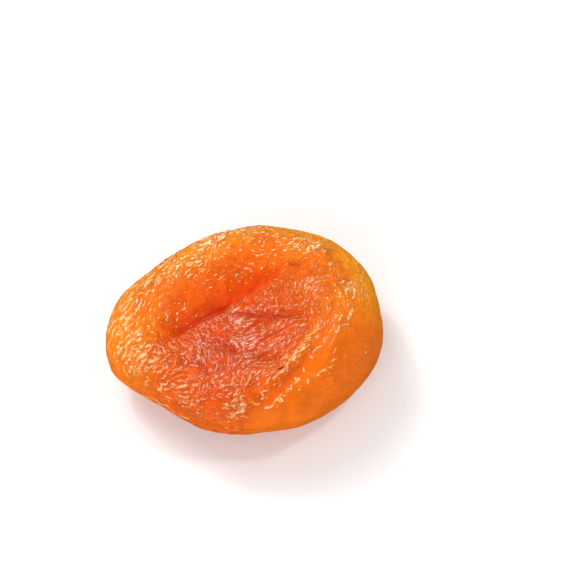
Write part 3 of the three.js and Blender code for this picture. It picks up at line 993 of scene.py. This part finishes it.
def skin_material(look):
    """Tough glossy amber skin: yellow-orange on the rim, deep orange in the hollow, coral on the pad. The
    zones tint the skin, and some tints are painted light: the hem's brighter gold is a painted glow of light
    through the thin edge, and the darker, redder slope, crease, trough, front and flank are painted shade,
    as are the dark lines and the notch. Ridges that rise past the level take painted highlights, with near
    white tops, and a pinkish painted sheen on the pad."""
    material = bpy.data.materials.new("dried apricot skin")
    nodes = Nodes(material)
    place = nodes.add("ShaderNodeTexCoord").outputs["Object"]
    pad = nodes.field("pad")
    blush = nodes.field("blush")
    coral = nodes.field("coral")
    flank = nodes.field("flank")
    coarse = nodes.field("coarse")
    fleck = nodes.lumps("fleck", place)

    height = nodes.product(nodes.field("strands"), nodes.curve("strands, coarse", coarse))
    height = nodes.maths("MULTIPLY_ADD", nodes.grain(place), nodes.curve("grain, coarse", coarse), height)
    over = nodes.maths("SUBTRACT", height, nodes.field("first"))
    speckled = nodes.maths("ADD", over, nodes.curve_on(pad, "speckle", fleck))
    level = nodes.curve_on(pad, "level", speckled)
    top = nodes.curve_on(pad, "top", speckled)

    mottle = nodes.curve("mottle", nodes.lumps("mottle", place))
    colour = nodes.mix(mottle, opaque(look.rim_colour), opaque(look.rim_dark_colour))
    # Zone tints over the rim: the hem's brighter gold is a painted glow of light through the thin edge, and
    # the darker, redder front, flank, trough, slope and crease are painted shade.
    for zone in ("end", "hem", "front", "flank", "trough", "slope", "crease"):
        colour = nodes.mix(nodes.field(zone), colour, opaque(getattr(look, zone + "_colour")))
    pad_skin = nodes.mix(coral, opaque(look.pad_colour), opaque(look.coral_groove_colour))
    colour = nodes.mix(blush, colour, pad_skin)
    # Painted highlights: the colours that the ridges' sides and tops are paled to, pinkish on the pad as
    # painted sheen.
    pad_tip = nodes.mix(coral, opaque(look.pad_strand_sheen_colour), opaque(look.coral_strand_sheen_colour))
    tip = nodes.mix(blush, opaque(look.ridge_highlight_colour), pad_tip)
    top_highlight_colour = nodes.mix(blush, opaque(look.top_highlight_colour), opaque(look.pad_top_sheen_colour))

    patches = nodes.curve("patches", nodes.lumps("patches", place))
    patches = nodes.product(patches, nodes.curve("patches, flank", flank))
    broad_patches = nodes.curve("broad patches", nodes.lumps("broad patches", place))
    colour = nodes.shade(colour, nodes.maths("ADD", patches, broad_patches))
    # Painted highlight: ridges that rise past the level are paled towards their sides' colour, by an amount
    # that flecks.
    painted_highlight = nodes.product(level, nodes.ramp(fleck, *HIGHLIGHT_FLECKS, look.highlight_least, look.highlight_most))
    colour = nodes.mix(painted_highlight, colour, tip)

    # Lone dots and dashes, with painted glints on them.
    dots = nodes.product(nodes.dots(place), nodes.curve("dots, pad", pad))
    dots = nodes.product(dots, nodes.curve("dots, side", nodes.field("side")))
    dots = nodes.product(dots, nodes.curve("dotted", nodes.lumps("dotted", place)))
    top = nodes.maths("MAXIMUM", top, nodes.product(dots, nodes.curve("dots, flank", flank)))
    # The lone thin ridges, with painted highlights on their sides and tops.
    thread = nodes.curve("thread", nodes.field("threads"))
    colour = nodes.mix(nodes.product(thread, nodes.curve("thread, side", fleck)), colour, tip)
    thread_highlight_top = nodes.product(thread, nodes.curve("thread, top", fleck))
    top = nodes.maths("MAXIMUM", nodes.product(top, HIGHLIGHT_TOP_SHARE), thread_highlight_top)
    colour = nodes.mix(top, colour, top_highlight_colour)

    # Painted shade: darker skin at the foot of folds, more so on the pad, and in the thin creases' lines.
    groove = nodes.maths("MULTIPLY_ADD", pad, GROOVE_SHADE_ON_PAD, GROOVE_SHADE_LEAST)
    groove = nodes.product(nodes.field("groove"), groove)
    line = nodes.product(nodes.field("lines"), LINE_SHADE_SHARE)
    colour = nodes.mix(nodes.maths("MAXIMUM", groove, line), colour, opaque(look.line_shade_colour))
    # Painted shadow in the small notch.
    colour = nodes.mix(nodes.curve("notch", nodes.field("notch")), colour, opaque(look.notch_shade_colour))

    relief = nodes.product(nodes.curve("relief", over), nodes.curve("calm", nodes.field("slope")))
    relief = nodes.maths("MULTIPLY_ADD", fleck, FLECK_BUMP, relief)
    relief = nodes.maths("MULTIPLY_ADD", dots, DOT_BUMP, relief)
    bump = nodes.add("ShaderNodeBump", Height=relief, Strength=1.0, Distance=BUMP_DEPTH)
    least = look.roughness - ROUGH_LESS
    most = look.roughness + ROUGH_MORE
    finish = {
        **FINISH,
        "Base Color": colour,
        "Normal": bump.outputs["Normal"],
        "Roughness": nodes.ramp(nodes.lumps("rough", place), *ROUGH, least, most),
        "Subsurface Weight": look.subsurface,
        "Subsurface Scale": look.subsurface_scale,
        "Coat Weight": look.coat,
        "Sheen Weight": look.sheen,
        "Sheen Tint": opaque(look.sheen_colour),
    }
    for name, value in finish.items():
        nodes.put(nodes.shader.inputs[name], value)
    return material


def colour_property(name, description, default):
    """A colour that can be changed, in linear light."""
    return FloatVectorProperty(
        name=name, description=description, default=default, subtype="COLOR", size=3, min=0, max=1
    )


def number_property(name, description, default, **settings):
    """A number that can be changed."""
    return FloatProperty(name=name, description=description, default=default, **settings)


def length_property(name, description, default):
    """A length that can be changed, in metres."""
    return number_property(name, description, default, unit="LENGTH")


def share_property(name, description, default):
    """A number between 0 and 1 that can be changed."""
    return number_property(name, description, default, min=0, max=1)


class ApricotForm(PropertyGroup):
    """Sizes of the fruit that can be changed."""

    hollow_depth: length_property("Hollow depth", "How deep the face's broad hollow is", 0.0035)
    crease_depth: length_property("Crease depth", "How deep the crease is in the hollow", 0.004)
    wrinkle_depth: length_property("Wrinkle depth", "Height of the fine wrinkles", 0.0001)
    pebble_depth: length_property("Pebble depth", "Height of the low pebbles under them", 0.00003)
    cells_long: IntProperty(name="Cells long", description="Mesh cells along the crease", default=168)
    cells_wide: IntProperty(name="Cells wide", description="Mesh cells across the crease", default=132)
    cells_high: IntProperty(name="Cells high", description="Mesh cells up the edge", default=90)


class ApricotLook(PropertyGroup):
    """Colours and finish of the skin that can be changed."""

    rim_colour: colour_property("Rim", "Skin on the rim", (0.92, 0.27, 0.005))
    rim_dark_colour: colour_property("Rim, darker", "Darker patches on the rim", (0.87, 0.195, 0.003))
    end_colour: colour_property("Stem end", "Skin between the strokes of the stem end", (0.90, 0.225, 0.003))
    # Painted glow of light through the thin edge at the tip.
    hem_colour: colour_property("Hem", "Smooth golden skin along the tip's edge", (0.97, 0.31, 0.004))
    # Flank, trough, front, slope and crease: darker, redder orange than the rim, as painted shade.
    flank_colour: colour_property("Flank", "Smooth skin on the near flank", (0.86, 0.165, 0.002))
    trough_colour: colour_property("Trough", "Smooth skin in the trough beside the pad", (0.82, 0.13, 0.002))
    front_colour: colour_property("Front", "Skin on the front below the pad", (0.80, 0.115, 0.002))
    slope_colour: colour_property("Slope", "Skin on the slope behind the crease", (0.84, 0.122, 0.002))
    crease_colour: colour_property("Crease", "Skin deep in the crease", (0.78, 0.06, 0.001))
    # Painted highlights on the sides and tops of the lone ridges.
    ridge_highlight_colour: colour_property("Ridge", "Sides of the lone ridges", (0.99, 0.55, 0.20))
    top_highlight_colour: colour_property("Ridge tops", "Tops of the lone ridges", (1.0, 0.79, 0.52))
    pad_colour: colour_property("Pad", "Skin between the pad's strands", (0.76, 0.092, 0.002))
    coral_groove_colour: colour_property("Coral grooves", "The same at the coral spot", (0.68, 0.068, 0.003))
    # Painted shade at the foot of folds and in thin creases.
    line_shade_colour: colour_property("Lines", "Skin at the foot of folds and thin creases", (0.62, 0.032, 0.001))
    # Painted shadow in the notch.
    notch_shade_colour: colour_property("Notch", "The small dark notch", (0.36, 0.03, 0.003))
    # Pinkish painted sheen on the pad's strands.
    pad_strand_sheen_colour: colour_property("Pad strands", "Sides of the pad's strands", (0.88, 0.26, 0.06))
    pad_top_sheen_colour: colour_property("Pad tops", "Tops of the pad's strands", (0.93, 0.60, 0.52))
    coral_strand_sheen_colour: colour_property("Coral strands", "The same at the coral spot", (0.86, 0.35, 0.25))
    # How far the painted highlight pales the ridges.
    highlight_least: number_property("Highlight, least", "Least paleness of the ridges", 0.25)
    highlight_most: number_property("Highlight, most", "Most paleness of the ridges", 0.9)
    roughness: share_property("Roughness", "Roughness of the skin", 0.36)
    coat: share_property("Coat", "Strength of the sticky shine", 0.35)
    sheen: share_property("Sheen", "Strength of the warm bright edge", 0.2)
    sheen_colour: colour_property("Sheen colour", "Colour of the bright edge", (1.0, 0.62, 0.12))
    subsurface: share_property("Glow", "Share of light that enters", 0.3)
    subsurface_scale: length_property("Glow depth", "How far light spreads inside", 0.0025)


class StudioStage(PropertyGroup):
    """The floor, the lights and the camera."""

    floor_colour: colour_property("Floor", "The pale floor", (0.96, 0.96, 0.96))
    key_power: number_property("Key light", "Power of the main light, in watts", 0.95)
    fill_power: number_property("Fill light", "Power of the soft light in front", 1.15)
    glint_power: number_property("Glints", "Power of the two small lights", 0.3)
    sky: number_property("Sky", "Strength of the light from all round", 0.56)
    azimuth: number_property("Azimuth", "Where the camera stands, in degrees", -8.5)
    elevation: number_property("Elevation", "How high the camera stands", 66.0)
    lens: number_property("Lens", "Focal length, in millimetres", 120.0)
    sensor: number_property("Sensor", "Sensor width, in millimetres", 36.0)
    pixels_per_mm: number_property("Scale", "Pixels a millimetre at the aim", 6.6)
    aim_pixel_x: number_property("Aim, across", "Pixel that the aim falls on", 243.4)
    aim_pixel_y: number_property("Aim, down", "Pixel that the aim falls on", 330.4)
    aim_height: length_property("Aim height", "Height of the aim", 0.008)


def add_light(name, place, aim, size, power, in_gloss):
    """A square softbox at a place, turned to an aim."""
    data = bpy.data.lights.new(name, "AREA")
    data.shape = "SQUARE"
    data.size = size
    data.energy = power
    lamp = bpy.data.objects.new(name, data)
    lamp.location = place
    lamp.rotation_euler = (Vector(aim) - Vector(place)).to_track_quat("-Z", "Y").to_euler()
    lamp.visible_glossy = in_gloss
    bpy.context.scene.collection.objects.link(lamp)


def add_floor(stage):
    """A wide plain floor under the fruit: a square about the origin, at height 0."""
    corners = ((-1, -1), (1, -1), (1, 1), (-1, 1))
    mesh = bpy.data.meshes.new("floor")
    mesh.from_pydata([(FLOOR_HALF * x, FLOOR_HALF * y, 0) for x, y in corners], [], [(0, 1, 2, 3)])
    floor = bpy.data.objects.new("floor", mesh)
    bpy.context.scene.collection.objects.link(floor)
    material = bpy.data.materials.new("floor")
    nodes = Nodes(material)
    nodes.put(nodes.shader.inputs["Base Color"], opaque(stage.floor_colour))
    nodes.put(nodes.shader.inputs["Roughness"], FLOOR_ROUGHNESS)
    mesh.materials.append(material)
    floor.visible_glossy = False


def add_camera(stage):
    """A camera that looks down at the azimuth and elevation, moved aside so that the aim falls on its pixel.

    It stands lens / sensor times the width that the picture shows at the aim away from it.
    """
    a = np.radians(stage.azimuth)
    e = np.radians(stage.elevation)
    back = Vector((np.sin(a) * np.cos(e), -np.cos(a) * np.cos(e), np.sin(e)))
    right = Vector((np.cos(a), np.sin(a), 0))
    up = back.cross(right)
    distance = stage.lens / stage.sensor * IMAGE_SIZE / stage.pixels_per_mm * MM
    across = (stage.aim_pixel_x - IMAGE_SIZE / 2) / stage.pixels_per_mm * MM
    down = (stage.aim_pixel_y - IMAGE_SIZE / 2) / stage.pixels_per_mm * MM
    data = bpy.data.cameras.new("camera")
    data.lens = stage.lens
    data.sensor_width = stage.sensor
    data.clip_start = NEAR_CLIP
    data.clip_end = FAR_CLIP
    camera = bpy.data.objects.new("camera", data)
    place = Vector((0, 0, stage.aim_height)) + back * distance - right * across + up * down
    camera.matrix_world = Matrix.Translation(place) @ Matrix((right, up, back)).transposed().to_4x4()
    bpy.context.scene.collection.objects.link(camera)
    bpy.context.scene.camera = camera


def set_sky(stage):
    """An even pale light from all round."""
    world = bpy.data.worlds.new("sky")
    bpy.context.scene.world = world
    world.use_nodes = True
    background = world.node_tree.nodes["Background"]
    background.inputs["Color"].default_value = (1, 1, 1, 1)
    background.inputs["Strength"].default_value = stage.sky
    world.cycles_visibility.glossy = False


class OBJECT_OT_dried_apricot(Operator):
    """Builds the fruit's skin, with its wrinkles and finish, in place of the frame's plain solid"""

    bl_idname = "object.dried_apricot"
    bl_label = "Dried apricot"

    def execute(self, context):
        piece = skin_object(context.scene.apricot_form)
        piece.data.materials.append(skin_material(context.scene.apricot_look))
        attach(piece, "root")
        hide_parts(NODE)
        return {"FINISHED"}


class OBJECT_OT_apricot_stage(Operator):
    """Lays the pale floor, sets the soft lights and stands the camera"""

    bl_idname = "object.apricot_stage"
    bl_label = "Studio stage"

    def execute(self, context):
        stage = context.scene.apricot_stage
        aim = (0, 0, stage.aim_height)
        add_floor(stage)
        set_sky(stage)
        for name, (power, place, size, in_gloss) in LIGHTS.items():
            add_light(name, place, aim, size, getattr(stage, power), in_gloss)
        add_camera(stage)
        context.scene.view_settings.view_transform = "Standard"
        return {"FINISHED"}


class VIEW3D_PT_apricot(Panel):
    """Lists the builders and their settings."""

    bl_label = "Dried apricot"
    bl_idname = "VIEW3D_PT_apricot"
    bl_space_type = "VIEW_3D"
    bl_region_type = "UI"
    bl_category = "Apricot"

    def draw(self, context):
        scene = context.scene
        for group, operator in (
            ((scene.apricot_form, scene.apricot_look), OBJECT_OT_dried_apricot),
            ((scene.apricot_stage,), OBJECT_OT_apricot_stage),
        ):
            box = self.layout.box()
            for settings in group:
                for name in settings.__annotations__:
                    box.prop(settings, name)
            box.operator(operator.bl_idname)


CLASSES = (
    ApricotForm,
    ApricotLook,
    StudioStage,
    OBJECT_OT_dried_apricot,
    OBJECT_OT_apricot_stage,
    VIEW3D_PT_apricot,
)


def register():
    """Registers the classes, and hangs their settings on the scene."""
    for item in CLASSES:
        bpy.utils.register_class(item)
    bpy.types.Scene.apricot_form = PointerProperty(type=ApricotForm)
    bpy.types.Scene.apricot_look = PointerProperty(type=ApricotLook)
    bpy.types.Scene.apricot_stage = PointerProperty(type=StudioStage)


def unregister():
    """Takes the settings and the classes away again."""
    del bpy.types.Scene.apricot_stage
    del bpy.types.Scene.apricot_look
    del bpy.types.Scene.apricot_form
    for item in reversed(CLASSES):
        bpy.utils.unregister_class(item)


def main():
    register()
    bpy.ops.object.apricot_stage()
    bpy.ops.object.dried_apricot()


if __name__ == "__main__":
    main()
